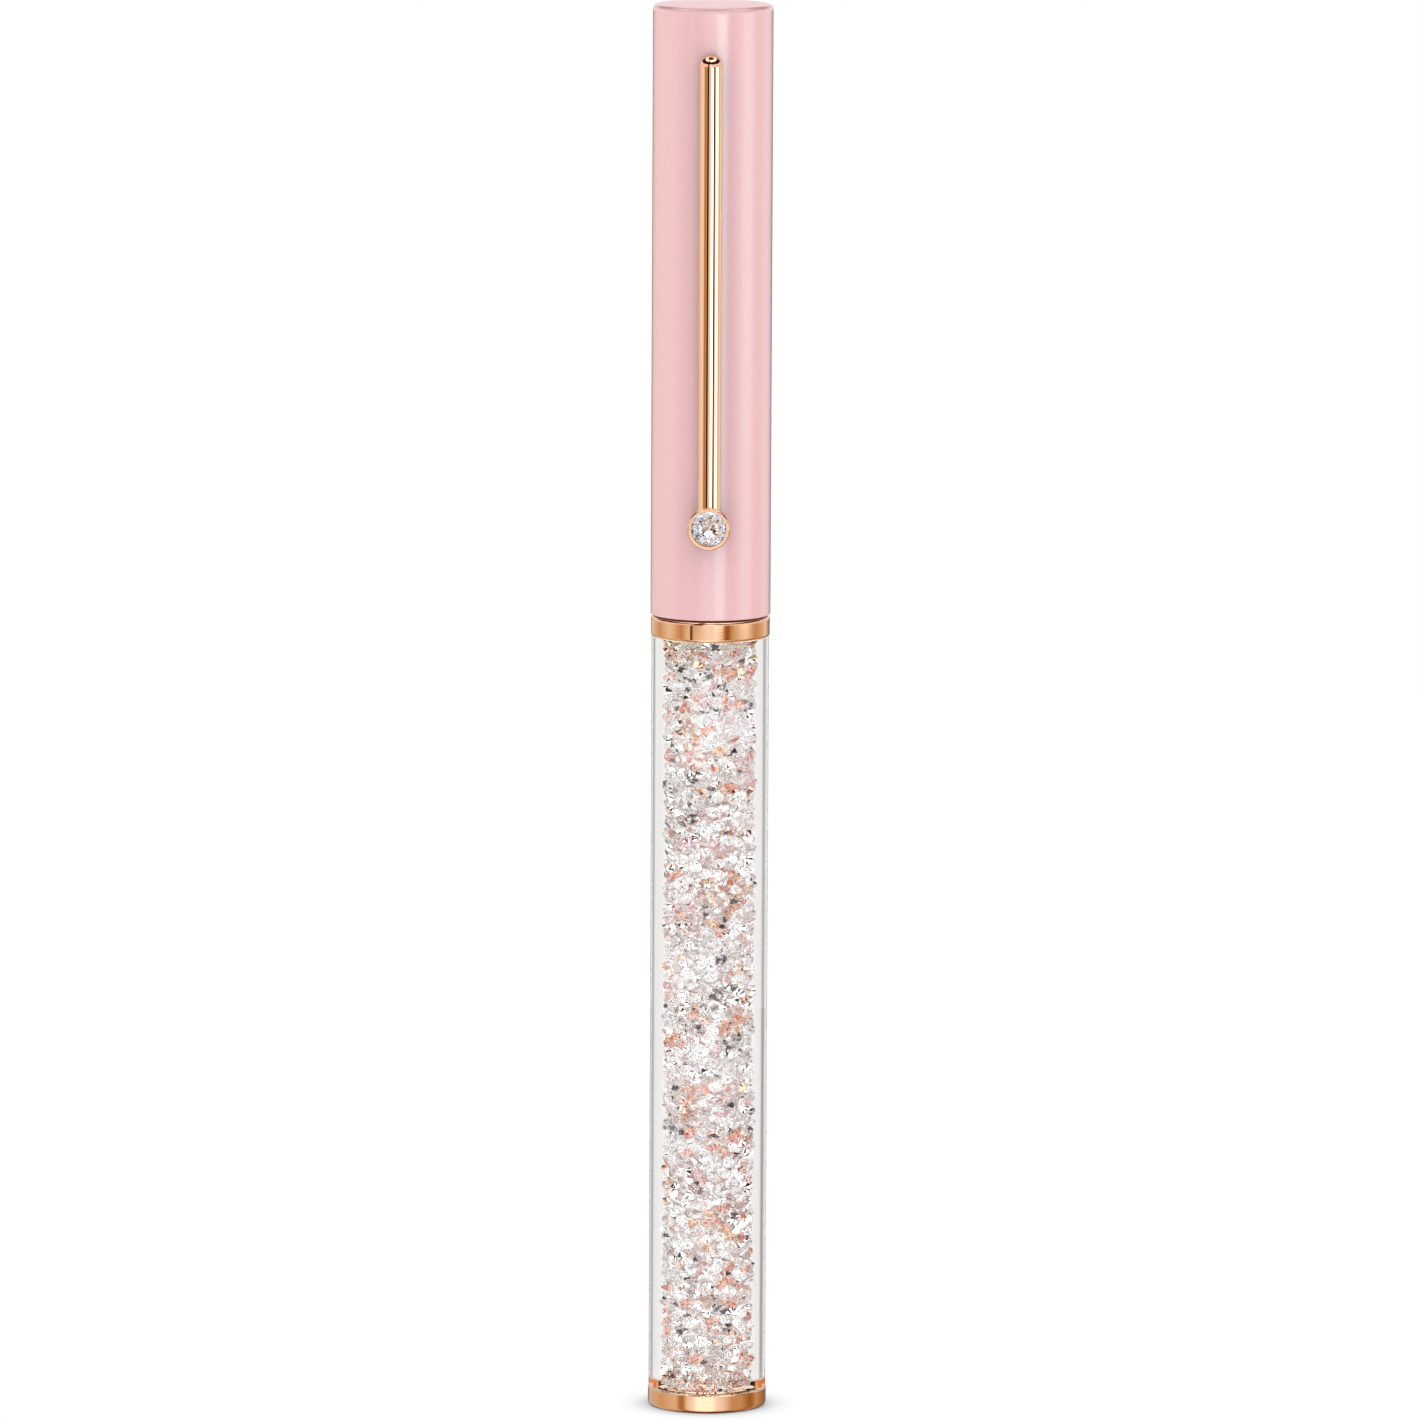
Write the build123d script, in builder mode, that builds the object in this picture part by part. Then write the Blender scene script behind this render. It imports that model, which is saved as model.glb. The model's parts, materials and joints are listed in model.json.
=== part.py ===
from build123d import *
from math import copysign, cos, pi, radians, sin, sqrt, tan
import os

# A capped gel pen that stands on its flat end ring, with its axis on Z and its clip towards -Y.
# The origin is the centre of the face it stands on. All sizes are in millimetres.
#
# From the bottom up: a plated end ring closes a thick clear tube, the tube's bore is packed with
# small cut crystals, and a plated centre ring closes its other end. A turned socket in that end
# carries the screw thread of the writing section and a closed well for the tail of the refill.
# The cap covers the section, the nose cone and the writing tip, and its clip holds a cut crystal.

# ---------------------------------------------------------------- overall sizes
barrel_diameter = 11.38  # clear tube
bore_diameter = 5.9  # crystal chamber in the tube
window_length = 73.8  # clear wall between the two plated rings
end_ring_height = 1.8
centre_ring_height = 2.05
cap_length = 59.25
ring_proud = 0.06  # plated rings beyond the tube, on the radius
cap_proud = 0.11  # cap beyond the tube, on the radius

# ---------------------------------------------------------------- fits, on the radius or the length
glue_gap = 0.02  # glued, pressed or crimped pieces
running_gap = 0.05  # pieces that turn or slide on each other
cap_gap = 0.10  # centre ring to cap lip
cap_clearance = 0.15  # section inside the cap's liner
refill_clearance = 0.125  # refill in its well and guide
nose_clearance = 0.07  # writing tip in the nose cone's hole
ball_gap = 0.01

# ---------------------------------------------------------------- tube ends and crystal chamber
neck_step = 1.25  # how far the tube's two necks are turned down
end_floor = 0.55  # floor of the end ring's cup
foot_edge = 0.4  # rounded foot of the end ring
rim_edge = 0.1  # small rounded or bevelled edges
ring_top_edge = 0.35
ring_bottom_edge = 0.25
plug_recess = 0.05  # end plug below the end ring's rim
chamber_gap = 0.05  # crystals to the wall around them

# ---------------------------------------------------------------- socket and well
flange_height = 0.6
skirt_recess = 0.1  # lower face of the socket's skirt above the centre ring's lower edge
thread_length = 5.0
thread_lead_in = 0.4
well_wall = 0.3
well_end_wall = 0.4
well_mouth_recess = 0.3

# ---------------------------------------------------------------- refill
refill_diameter = 2.35
refill_length = 67.0  # short gel refill, from tail to ball
refill_wall = 0.32
tail_head = 0.6
tail_shank = 1.9
tail_vent = 0.5
air_length = 5.0  # empty tube behind the follower
follower_length = 3.0
spring_length = 3.0
spring_diameter = 2.1
spring_wire = 0.22
spring_turns = 4

# ---------------------------------------------------------------- writing tip
ball_diameter = 0.7
ball_stand = 0.2  # ball beyond the lip of its seat
lip_wall = 0.09
tip_base_length = 4.5
tip_tail_length = 3.0
tip_neck_diameter = 1.5
tip_cone_length = 1.6
tip_bore = 0.9
feed_bore = 0.35
tip_protrusion = 2.6  # tip beyond the nose cone
tip_spring_diameter = 0.7
tip_spring_wire = 0.1
tip_spring_length = 3.2
tip_spring_turns = 8

# ---------------------------------------------------------------- writing section
sleeve_wall = 0.45  # around the thread insert
sleeve_front_wall = 0.6  # at the grip's thin end
grip_taper = 0.65  # on the radius
collar_length = 9.4  # straight stretch before the taper
insert_rise = 1.35  # thread insert beyond the socket's end
seal_wire = 0.6
seal_pocket = 0.7
snap_ring_height = 7.85  # above the centre ring
snap_ring_wire = 0.5
snap_ring_opening = 34.0  # degrees
nose_length = 18.9
nose_spigot = 3.0
nose_end_wall = 0.53
nose_step_depth = 1.45  # nose's end to the shoulder that stops the refill
guide_land = 3.0  # full-width ends of the refill guide
guide_waist = 1.0  # how far it is thinned between them
groove_count = 4
groove_pitch = 1.7
groove_depth = 0.12
groove_radius = 0.3
groove_start = 3.4  # first groove behind the nose cone

# ---------------------------------------------------------------- cap
cap_wall = 0.5
crown_wall = 0.8
crown_edge = 0.5
crown_rise = 0.12  # the crown is very slightly domed
liner_wall = 0.58
liner_recess = 0.8  # liner above the cap's lip
liner_nose_bore = 4.8
liner_nose_wall = 0.5
liner_end_wall = 0.8
liner_headroom = 0.3  # liner's end to the crown
tip_headroom = 1.6  # tip to the liner's end
detent_depth = 0.12

# ---------------------------------------------------------------- clip
clip_width = 2.2
clip_thickness = 1.5
clip_gap = 0.45  # bar to cap
clip_drop = 4.4  # crown to the bar's top
clip_reach = 45.65  # bar's top to the bezel's centre
bezel_diameter = 4.1
bezel_thickness = 1.9
bezel_edge = 0.14
bezel_gap = 0.35  # bezel's back to cap
nub_gap = 0.15  # contact nub to cap
nub_radius = 0.8
tongue_width = 1.5
tongue_height = 0.9
tongue_drop = 2.4  # bar's top to the pivot bead
tongue_clearance = 0.15
bead_diameter = 1.7
bead_inset = 1.65  # pivot inside the cap's outer surface
anchor_rise = 2.5  # anchor's top above the pivot
anchor_gap = 0.1  # anchor to the liner

# ---------------------------------------------------------------- clip crystal
crystal_diameter = 3.32
crystal_girdle = 0.1
table_share = 0.56  # table's width as a share of the diameter
crown_angle = 33.0
star_angle = 20.0
upper_angle = 39.0  # small facets above the girdle
pavilion_angle = 34.0
lower_angle = 35.5  # small facets below the girdle
setting_gap = 0.04
setting_rim = 0.3  # bezel's front beyond the girdle

# ---------------------------------------------------------------- worked-out radii
barrel_r = barrel_diameter / 2
bore_r = bore_diameter / 2
ring_r = barrel_r + ring_proud
cap_r = barrel_r + cap_proud
neck_r = barrel_r - neck_step
refill_r = refill_diameter / 2
tube_bore_r = refill_r - refill_wall
well_bore_r = refill_r + refill_clearance
well_r = well_bore_r + well_wall
shell_bore_r = cap_r - cap_wall
liner_r = shell_bore_r - glue_gap
liner_bore_r = liner_r - liner_wall
section_r = liner_bore_r - cap_clearance
insert_r = section_r - sleeve_wall - glue_gap
seal_r = insert_r - seal_wire / 2 - glue_gap
thread_r = seal_r - seal_wire / 2 - running_gap
grip_front_r = section_r - grip_taper
guide_r = grip_front_r - sleeve_front_wall - glue_gap
tip_neck_r = tip_neck_diameter / 2
nose_hole_r = tip_neck_r + nose_clearance
nose_end_r = nose_hole_r + nose_end_wall
snap_ring_r = liner_bore_r - running_gap - snap_ring_wire / 2
liner_nose_bore_r = liner_nose_bore / 2
liner_nose_r = liner_nose_bore_r + liner_nose_wall

# ---------------------------------------------------------------- worked-out heights
end_top = end_ring_height
window_top = end_top + window_length
ring_top = window_top + centre_ring_height
neck_top = ring_top - flange_height
cap_lip = ring_top + cap_gap
crown_top = cap_lip + cap_length
shell_ceiling = crown_top - crown_wall
liner_top = shell_ceiling - liner_headroom
liner_ceiling = liner_top - liner_end_wall
tip_point = liner_ceiling - tip_headroom
nose_end = tip_point - tip_protrusion
nose_base = nose_end - nose_length
nose_step = nose_end - nose_step_depth
section_base = ring_top + running_gap
thread_top = ring_top + thread_length
insert_base = section_base + seal_pocket
insert_top = thread_top + insert_rise
collar_top = ring_top + collar_length
snap_ring_z = ring_top + snap_ring_height
tail = tip_point - refill_length
well_floor = tail - spring_length
well_end = well_floor - well_end_wall
plug_top = end_top - plug_recess
skirt_base = window_top + skirt_recess
tube_base = end_floor + glue_gap
clip_top = crown_top - clip_drop
bezel_z = clip_top - clip_reach
pivot_z = clip_top - tongue_drop
pivot_y = bead_inset - cap_r


def rims(part, height, radius):
    """Round edges of a turned piece at one height and radius."""
    circles = part.edges().filter_by(GeomType.CIRCLE)
    level = circles.filter_by(lambda e: abs(e.center().Z - height) < 0.005)
    return level.filter_by(lambda e: abs(e.radius - radius) < 0.005)


def coil_spring(diameter, wire, base, length, turns):
    """Coil spring wound about the pen's axis from its base up."""
    rise = length - wire
    with BuildPart() as spring:
        with BuildLine(Plane.XY.offset(base + wire / 2)) as path:
            Helix(pitch=rise / turns, height=rise, radius=(diameter - wire) / 2)
        with BuildSketch(Plane(origin=path.line @ 0, z_dir=path.line % 0)):
            Circle(wire / 2)
        sweep(is_frenet=True)
    return spring


# ================================================================ barrel

# Thick clear tube. Each end has a turned-down neck that a plated ring slips over.
with BuildPart() as barrel_tube:
    with BuildSketch(Plane.XZ):
        Polygon(
            (bore_r, tube_base),
            (neck_r, tube_base),
            (neck_r, end_top + glue_gap),
            (barrel_r, end_top + glue_gap),
            (barrel_r, window_top - glue_gap),
            (neck_r, window_top - glue_gap),
            (neck_r, neck_top),
            (bore_r, neck_top),
            align=None,
        )
    revolve(axis=Axis.Z)
    chamfer(rims(barrel_tube, end_top + glue_gap, barrel_r), rim_edge)
    chamfer(rims(barrel_tube, window_top - glue_gap, barrel_r), rim_edge)

# Plated cup on the tube's lower neck. The pen stands on its flat floor.
with BuildPart() as end_ring:
    with BuildSketch(Plane.XZ):
        Polygon(
            (0, 0),
            (ring_r, 0),
            (ring_r, end_top),
            (neck_r + glue_gap, end_top),
            (neck_r + glue_gap, end_floor),
            (0, end_floor),
            align=None,
        )
    revolve(axis=Axis.Z)
    fillet(rims(end_ring, 0, ring_r), foot_edge)
    fillet(rims(end_ring, end_top, ring_r), rim_edge)

# Disc that closes the crystal chamber behind the end ring.
with BuildPart() as end_plug:
    with BuildSketch(Plane.XY.offset(tube_base)):
        Circle(bore_r - glue_gap)
    extrude(amount=plug_top - tube_base)
    chamfer(end_plug.edges().filter_by(GeomType.CIRCLE), rim_edge)

# Plated ring on the tube's upper neck, where the cap ends.
with BuildPart() as centre_ring:
    with BuildSketch(Plane.XY.offset(window_top)):
        Circle(ring_r)
        Circle(neck_r + glue_gap, mode=Mode.SUBTRACT)
    extrude(amount=centre_ring_height)
    fillet(rims(centre_ring, ring_top, ring_r), ring_top_edge)
    fillet(rims(centre_ring, window_top, ring_r), ring_bottom_edge)

# Turned socket: a flange on the neck, a skirt in the bore and a threaded spigot for the section.
with BuildPart() as section_socket:
    with BuildSketch(Plane.XZ):
        Polygon(
            (well_r + glue_gap, skirt_base),
            (bore_r - glue_gap, skirt_base),
            (bore_r - glue_gap, neck_top + glue_gap),
            (neck_r, neck_top + glue_gap),
            (neck_r, ring_top),
            (thread_r, ring_top),
            (thread_r, thread_top),
            (well_r + glue_gap, thread_top),
            align=None,
        )
    revolve(axis=Axis.Z)
    chamfer(rims(section_socket, thread_top, thread_r), thread_lead_in)

# Closed tube that keeps the refill's tail and its spring apart from the crystals.
with BuildPart() as refill_well:
    with BuildSketch(Plane.XY.offset(well_end)):
        Circle(well_r)
    extrude(amount=thread_top - well_mouth_recess - well_end)
    fillet(rims(refill_well, well_end, well_r), 0.8 * well_end_wall)
    with BuildSketch(Plane.XY.offset(well_floor)):
        Circle(well_bore_r)
    extrude(amount=thread_top - well_floor, mode=Mode.SUBTRACT)

# The packed crystals, as one solid column that reaches up around the well.
with BuildPart() as crystal_fill:
    with BuildSketch(Plane.XY.offset(plug_top + chamber_gap)):
        Circle(bore_r - chamber_gap)
    extrude(amount=skirt_base - plug_top - 2 * chamber_gap)
    with BuildSketch(Plane.XY.offset(well_end - chamber_gap)):
        Circle(well_r + chamber_gap)
    extrude(amount=skirt_base - well_end + chamber_gap, mode=Mode.SUBTRACT)

# Spring under the refill, which takes up its length and lets a hard press push it back.
refill_spring = coil_spring(spring_diameter, spring_wire, well_floor, spring_length, spring_turns)

# ================================================================ writing section

# Elastic ring that seals the joint between section and socket.
with BuildPart() as section_seal:
    with BuildSketch(Plane.XZ):
        with Locations((seal_r, section_base + seal_wire / 2)):
            Circle(seal_wire / 2)
    revolve(axis=Axis.Z)

# Threaded insert in the section's lower end.
with BuildPart() as thread_insert:
    with BuildSketch(Plane.XY.offset(insert_base)):
        Circle(insert_r)
        Circle(thread_r + running_gap, mode=Mode.SUBTRACT)
    extrude(amount=insert_top - insert_base)
    chamfer(rims(thread_insert, insert_base, thread_r + running_gap), thread_lead_in / 2)

# Plated sleeve that the fingers hold: a straight collar with a groove for the snap ring, then a
# taper with a few shallow turned grooves towards the nose.
taper_slope = grip_taper / (nose_base - collar_top)
snap_half = snap_ring_wire / 2 + running_gap
with BuildPart() as grip_sleeve:
    with BuildSketch(Plane.XZ):
        Polygon(
            (insert_r + glue_gap, section_base),
            (section_r, section_base),
            (section_r, collar_top),
            (grip_front_r, nose_base),
            (guide_r + glue_gap, nose_base),
            (guide_r + glue_gap, insert_top + glue_gap),
            (insert_r + glue_gap, insert_top + glue_gap),
            align=None,
        )
    revolve(axis=Axis.Z)
    chamfer(rims(grip_sleeve, section_base, section_r), rim_edge)
    with BuildSketch(Plane.XY.offset(snap_ring_z - snap_half)):
        Circle(section_r + running_gap)
        Circle(snap_ring_r - snap_half, mode=Mode.SUBTRACT)
    extrude(amount=2 * snap_half, mode=Mode.SUBTRACT)
    for index in range(groove_count):
        behind_nose = groove_start + index * groove_pitch
        surface_r = grip_front_r + taper_slope * behind_nose
        with BuildSketch(Plane.XZ):
            with Locations((surface_r + groove_radius - groove_depth, nose_base - behind_nose)):
                Circle(groove_radius)
        revolve(axis=Axis.Z, mode=Mode.SUBTRACT)

# Open spring ring that the cap clicks over.
with BuildPart() as snap_ring:
    with BuildSketch(Plane.XZ):
        with Locations((snap_ring_r, snap_ring_z)):
            Circle(snap_ring_wire / 2)
    revolve(axis=Axis.Z, revolution_arc=360 - snap_ring_opening)

# Plastic guide that centres the refill in the sleeve.
guide_base = insert_top + 2 * glue_gap
guide_top = nose_base - nose_spigot - glue_gap
with BuildPart() as refill_guide:
    with BuildSketch(Plane.XZ):
        Polygon(
            (well_bore_r, guide_base),
            (guide_r, guide_base),
            (guide_r, guide_base + guide_land),
            (guide_r - guide_waist, guide_base + guide_land + guide_waist),
            (guide_r - guide_waist, guide_top - guide_land - guide_waist),
            (guide_r, guide_top - guide_land),
            (guide_r, guide_top),
            (well_bore_r, guide_top),
            align=None,
        )
    revolve(axis=Axis.Z)

# Plated cone. Its inner shoulder holds the refill against the spring.
with BuildPart() as nose_cone:
    with BuildSketch(Plane.XZ):
        Polygon(
            (well_bore_r, nose_base - nose_spigot),
            (guide_r, nose_base - nose_spigot),
            (guide_r, nose_base + glue_gap),
            (grip_front_r, nose_base + glue_gap),
            (nose_end_r, nose_end),
            (nose_hole_r, nose_end),
            (nose_hole_r, nose_step),
            (well_bore_r, nose_step),
            align=None,
        )
    revolve(axis=Axis.Z)
    fillet(rims(nose_cone, nose_end, nose_end_r), nose_end_wall / 2)

# ================================================================ refill

tip_shoulder = nose_step - running_gap
tip_base = tip_shoulder - tip_base_length
tip_tail = tip_base - tip_tail_length
ball_r = ball_diameter / 2
ball_z = tip_point - ball_r
tip_lip = tip_point - ball_stand
seat_top_r = sqrt((ball_r + ball_gap) ** 2 - (tip_lip - ball_z) ** 2)
chamber_end = ball_z - 1.5 * ball_diameter

# Metal tip: a tail pressed into the tube, a shouldered base, a neck, and a cone around the ball.
with BuildPart() as tip_body:
    with BuildSketch(Plane.XZ):
        Polygon(
            (tip_bore / 2, tip_tail),
            (tube_bore_r - glue_gap, tip_tail),
            (tube_bore_r - glue_gap, tip_base),
            (refill_r, tip_base),
            (refill_r, tip_shoulder),
            (tip_neck_r, tip_shoulder),
            (tip_neck_r, tip_point - tip_cone_length),
            (seat_top_r + lip_wall, tip_lip),
            (0, tip_lip),
            (0, chamber_end + tip_bore / 2),
            (tip_bore / 2, chamber_end),
            align=None,
        )
    revolve(axis=Axis.Z)
    with BuildSketch(Plane.XY.offset(chamber_end)):
        Circle(feed_bore / 2)
    extrude(amount=ball_z - chamber_end, mode=Mode.SUBTRACT)
    with Locations((0, 0, ball_z)):
        Sphere(ball_r + ball_gap, mode=Mode.SUBTRACT)

# Writing ball.
with BuildPart() as tip_ball:
    with Locations((0, 0, ball_z)):
        Sphere(ball_r)

# Fine spring in the tip, behind the ball's ink feed.
tip_spring_base = chamber_end - running_gap - tip_spring_length
tip_spring = coil_spring(
    tip_spring_diameter, tip_spring_wire, tip_spring_base, tip_spring_length, tip_spring_turns
)

# Ink tube.
tube_tail = tail + tail_head + glue_gap
with BuildPart() as refill_tube:
    with BuildSketch(Plane.XY.offset(tube_tail)):
        Circle(refill_r)
        Circle(tube_bore_r, mode=Mode.SUBTRACT)
    extrude(amount=tip_base - glue_gap - tube_tail)

# Vented plug in the tube's tail.
with BuildPart() as tail_plug:
    with BuildSketch(Plane.XY.offset(tail)):
        Circle(refill_r)
    extrude(amount=tail_head)
    chamfer(rims(tail_plug, tail, refill_r), tail_head / 4)
    with BuildSketch(Plane.XY.offset(tail + tail_head)):
        Circle(tube_bore_r - glue_gap)
    extrude(amount=tail_shank)
    with BuildSketch(Plane.XY.offset(tail)):
        Circle(tail_vent / 2)
    extrude(amount=tail_head + tail_shank, mode=Mode.SUBTRACT)

# Grease follower behind the ink.
follower_base = tail + tail_head + tail_shank + air_length
follower_top = follower_base + follower_length
with BuildPart() as ink_follower:
    with BuildSketch(Plane.XY.offset(follower_base)):
        Circle(tube_bore_r - glue_gap)
    extrude(amount=follower_length)

# Gel ink, up to the tail of the metal tip.
with BuildPart() as gel_ink:
    with BuildSketch(Plane.XY.offset(follower_top + glue_gap)):
        Circle(tube_bore_r - glue_gap)
    extrude(amount=tip_tail - follower_top - 2 * glue_gap)

# ================================================================ cap

# Drawn and lacquered shell with a slot for the clip's tongue.
dome_edge = crown_top - crown_rise
dome_r = (cap_r**2 + crown_rise**2) / (2 * crown_rise)
with BuildPart() as cap_shell:
    with BuildSketch(Plane.XZ):
        with BuildLine():
            Polyline(
                (0, shell_ceiling),
                (shell_bore_r, shell_ceiling),
                (shell_bore_r, cap_lip),
                (cap_r, cap_lip),
                (cap_r, dome_edge),
            )
            RadiusArc((cap_r, dome_edge), (0, crown_top), -dome_r)
            Line((0, crown_top), (0, shell_ceiling))
        make_face()
    revolve(axis=Axis.Z)
    fillet(rims(cap_shell, dome_edge, cap_r), crown_edge)
    fillet(rims(cap_shell, cap_lip, cap_r), rim_edge)
    with Locations((0, -cap_r, pivot_z)):
        Box(
            tongue_width + 2 * tongue_clearance,
            4 * cap_wall,
            tongue_height + 2 * tongue_clearance,
            mode=Mode.SUBTRACT,
        )

# Plastic liner. Its wide bore guides the section, a shallow groove is the snap ring's detent,
# and its narrow closed end keeps air from the tip.
nose_slope = (grip_front_r - nose_end_r) / nose_length
bore_cone_base = nose_base - (liner_bore_r - grip_front_r - cap_clearance) / nose_slope
bore_cone_top = nose_base + (grip_front_r + cap_clearance - liner_nose_bore_r) / nose_slope
outer_cone_top = bore_cone_top + liner_nose_wall / nose_slope
outer_cone_base = outer_cone_top - (liner_r - liner_nose_r) / nose_slope
with BuildPart() as cap_liner:
    with BuildSketch(Plane.XZ):
        Polygon(
            (liner_bore_r, cap_lip + liner_recess),
            (liner_r, cap_lip + liner_recess),
            (liner_r, outer_cone_base),
            (liner_nose_r, outer_cone_top),
            (liner_nose_r, liner_top),
            (0, liner_top),
            (0, liner_ceiling),
            (liner_nose_bore_r, liner_ceiling),
            (liner_nose_bore_r, bore_cone_top),
            (liner_bore_r, bore_cone_base),
            align=None,
        )
    revolve(axis=Axis.Z)
    chamfer(rims(cap_liner, cap_lip + liner_recess, liner_bore_r), liner_wall / 3)
    with BuildSketch(Plane.XY.offset(snap_ring_z - snap_half)):
        Circle(liner_bore_r + detent_depth)
    extrude(amount=2 * snap_half, mode=Mode.SUBTRACT)

# Collar pressed into the shell above the liner's cone, with the pocket that the clip's bead snaps
# into.
anchor_base = outer_cone_top + anchor_gap
with BuildPart() as clip_anchor:
    with BuildSketch(Plane.XY.offset(anchor_base)):
        Circle(liner_r)
        Circle(liner_nose_r + anchor_gap, mode=Mode.SUBTRACT)
    extrude(amount=pivot_z + anchor_rise - anchor_base)
    with Locations((0, -cap_r, pivot_z)):
        Box(
            tongue_width + 2 * tongue_clearance,
            2 * bead_inset,
            tongue_height + 2 * tongue_clearance,
            mode=Mode.SUBTRACT,
        )
    with Locations(Location((0, pivot_y, pivot_z), (0, 90, 0))):
        Cylinder(
            bead_diameter / 2 + running_gap,
            tongue_width + 2 * tongue_clearance,
            mode=Mode.SUBTRACT,
        )

# ================================================================ clip

# Plated clip in one piece: a half-round bar with a domed top, a round bezel at its lower end, a
# contact nub behind the bezel, and a tongue whose bead pivots in the anchor.
clip_r = clip_width / 2
bar_back = -cap_r - clip_gap
bar_front = bar_back - clip_thickness
bar_y = bar_front + clip_r
dome_z = clip_top - clip_r
bezel_back = -cap_r - bezel_gap
bezel_front = bezel_back - bezel_thickness
crystal_r = crystal_diameter / 2
seat_r = crystal_r + setting_gap
girdle_y = bezel_front + setting_rim
seat_y = girdle_y + crystal_girdle + setting_gap
seat_depth = seat_r * tan(radians(pavilion_angle))
with BuildPart() as clip_arm:
    with BuildSketch(Plane.XY.offset(bezel_z)):
        with Locations((0, bar_y)):
            Circle(clip_r)
        with Locations((0, bar_back)):
            Rectangle(clip_width, bar_back - bar_y, align=(Align.CENTER, Align.MAX))
        with Locations((0, bar_back)):
            Rectangle(clip_width, clip_width, align=(Align.CENTER, Align.MIN), mode=Mode.SUBTRACT)
    extrude(amount=dome_z - bezel_z)
    with Locations((0, bar_y, dome_z)):
        Sphere(clip_r)
    with BuildSketch(Plane.XZ.offset(-bar_back)):
        with Locations((0, dome_z)):
            Circle(clip_width)
    extrude(amount=-2 * clip_r, mode=Mode.SUBTRACT)
    with BuildSketch(Plane.XZ.offset(-bar_back)):
        with Locations((0, dome_z)):
            Circle(clip_r)
    extrude(amount=bar_back - bar_y)
    with BuildSketch(Plane.XZ.offset(-bezel_back)):
        with Locations((0, bezel_z)):
            Circle(bezel_diameter / 2)
    extrude(amount=bezel_thickness)
    bezel_edges = clip_arm.edges().filter_by(GeomType.CIRCLE).sort_by(Axis.Y)[0]
    fillet(bezel_edges, bezel_edge)
    with Locations((0, -cap_r - nub_gap - nub_radius, bezel_z)):
        Sphere(nub_radius)
    with BuildSketch(Plane.XZ.offset(-pivot_y)):
        with Locations((0, pivot_z)):
            Rectangle(tongue_width, tongue_height)
    extrude(amount=pivot_y - bar_y)
    with Locations(Location((0, pivot_y, pivot_z), (0, 90, 0))):
        Cylinder(bead_diameter / 2, tongue_width)
    # Stepped seat with a cone under it, turned about the bezel's own axis.
    with BuildSketch(Plane.XY.offset(bezel_z)):
        Polygon(
            (0, bezel_front - setting_gap),
            (seat_r, bezel_front - setting_gap),
            (seat_r, seat_y),
            (0, seat_y + seat_depth),
            align=None,
        )
    revolve(axis=Axis((0, 0, bezel_z), (0, 1, 0)), mode=Mode.SUBTRACT)

# Round brilliant stone with its table towards -Y: table, kite, star and small facets above the
# girdle, long and small facets to a point below it.
stone = Plane(origin=(0, girdle_y, bezel_z), x_dir=(1, 0, 0), z_dir=(0, -1, 0))
stone_crown = (1 - table_share) * crystal_r * tan(radians(crown_angle))
stone_depth = crystal_girdle + crystal_r * tan(radians(pavilion_angle))
star_r = table_share * crystal_r * cos(pi / 8)


def facet(azimuth, angle, radius, height):
    """Plane of a facet through a point of the stone. Below the girdle its angle is negative."""
    lean = radians(abs(angle))
    around = Vector(cos(azimuth), sin(azimuth), 0)
    outward = around * sin(lean) + Vector(0, 0, copysign(cos(lean), angle))
    foot = around * radius + Vector(0, 0, height)
    origin = stone.from_local_coords(foot)
    return Plane(origin=origin, z_dir=stone.from_local_coords(foot + outward) - origin)


with BuildPart() as clip_crystal:
    with BuildSketch(stone.offset(-stone_depth)):
        Circle(crystal_r)
    extrude(amount=stone_depth + stone_crown)
    for index in range(8):
        kite = index * pi / 4
        split(bisect_by=facet(kite, crown_angle, crystal_r, 0), keep=Keep.BOTTOM)
        split(bisect_by=facet(kite + pi / 8, star_angle, star_r, stone_crown), keep=Keep.BOTTOM)
        split(bisect_by=facet(kite, -pavilion_angle, crystal_r, -crystal_girdle), keep=Keep.BOTTOM)
        for small in (kite - pi / 16, kite + pi / 16):
            split(bisect_by=facet(small, upper_angle, crystal_r, 0), keep=Keep.BOTTOM)
            split(bisect_by=facet(small, -lower_angle, crystal_r, -crystal_girdle), keep=Keep.BOTTOM)

# ================================================================ files
pieces = {
    "barrel_tube": barrel_tube,
    "crystal_fill": crystal_fill,
    "end_ring": end_ring,
    "end_plug": end_plug,
    "centre_ring": centre_ring,
    "section_socket": section_socket,
    "refill_well": refill_well,
    "refill_spring": refill_spring,
    "section_seal": section_seal,
    "thread_insert": thread_insert,
    "grip_sleeve": grip_sleeve,
    "snap_ring": snap_ring,
    "refill_guide": refill_guide,
    "nose_cone": nose_cone,
    "refill_tube": refill_tube,
    "gel_ink": gel_ink,
    "ink_follower": ink_follower,
    "tail_plug": tail_plug,
    "tip_body": tip_body,
    "tip_spring": tip_spring,
    "tip_ball": tip_ball,
    "cap_shell": cap_shell,
    "cap_liner": cap_liner,
    "clip_anchor": clip_anchor,
    "clip_arm": clip_arm,
    "clip_crystal": clip_crystal,
}
os.makedirs("parts", exist_ok=True)
for label, piece in pieces.items():
    piece.part.label = label
    export_step(piece.part, f"parts/{label}.step")
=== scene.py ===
import json
import math

import bpy
import numpy as np
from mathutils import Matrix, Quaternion, Vector
from mathutils.kdtree import KDTree


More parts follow.
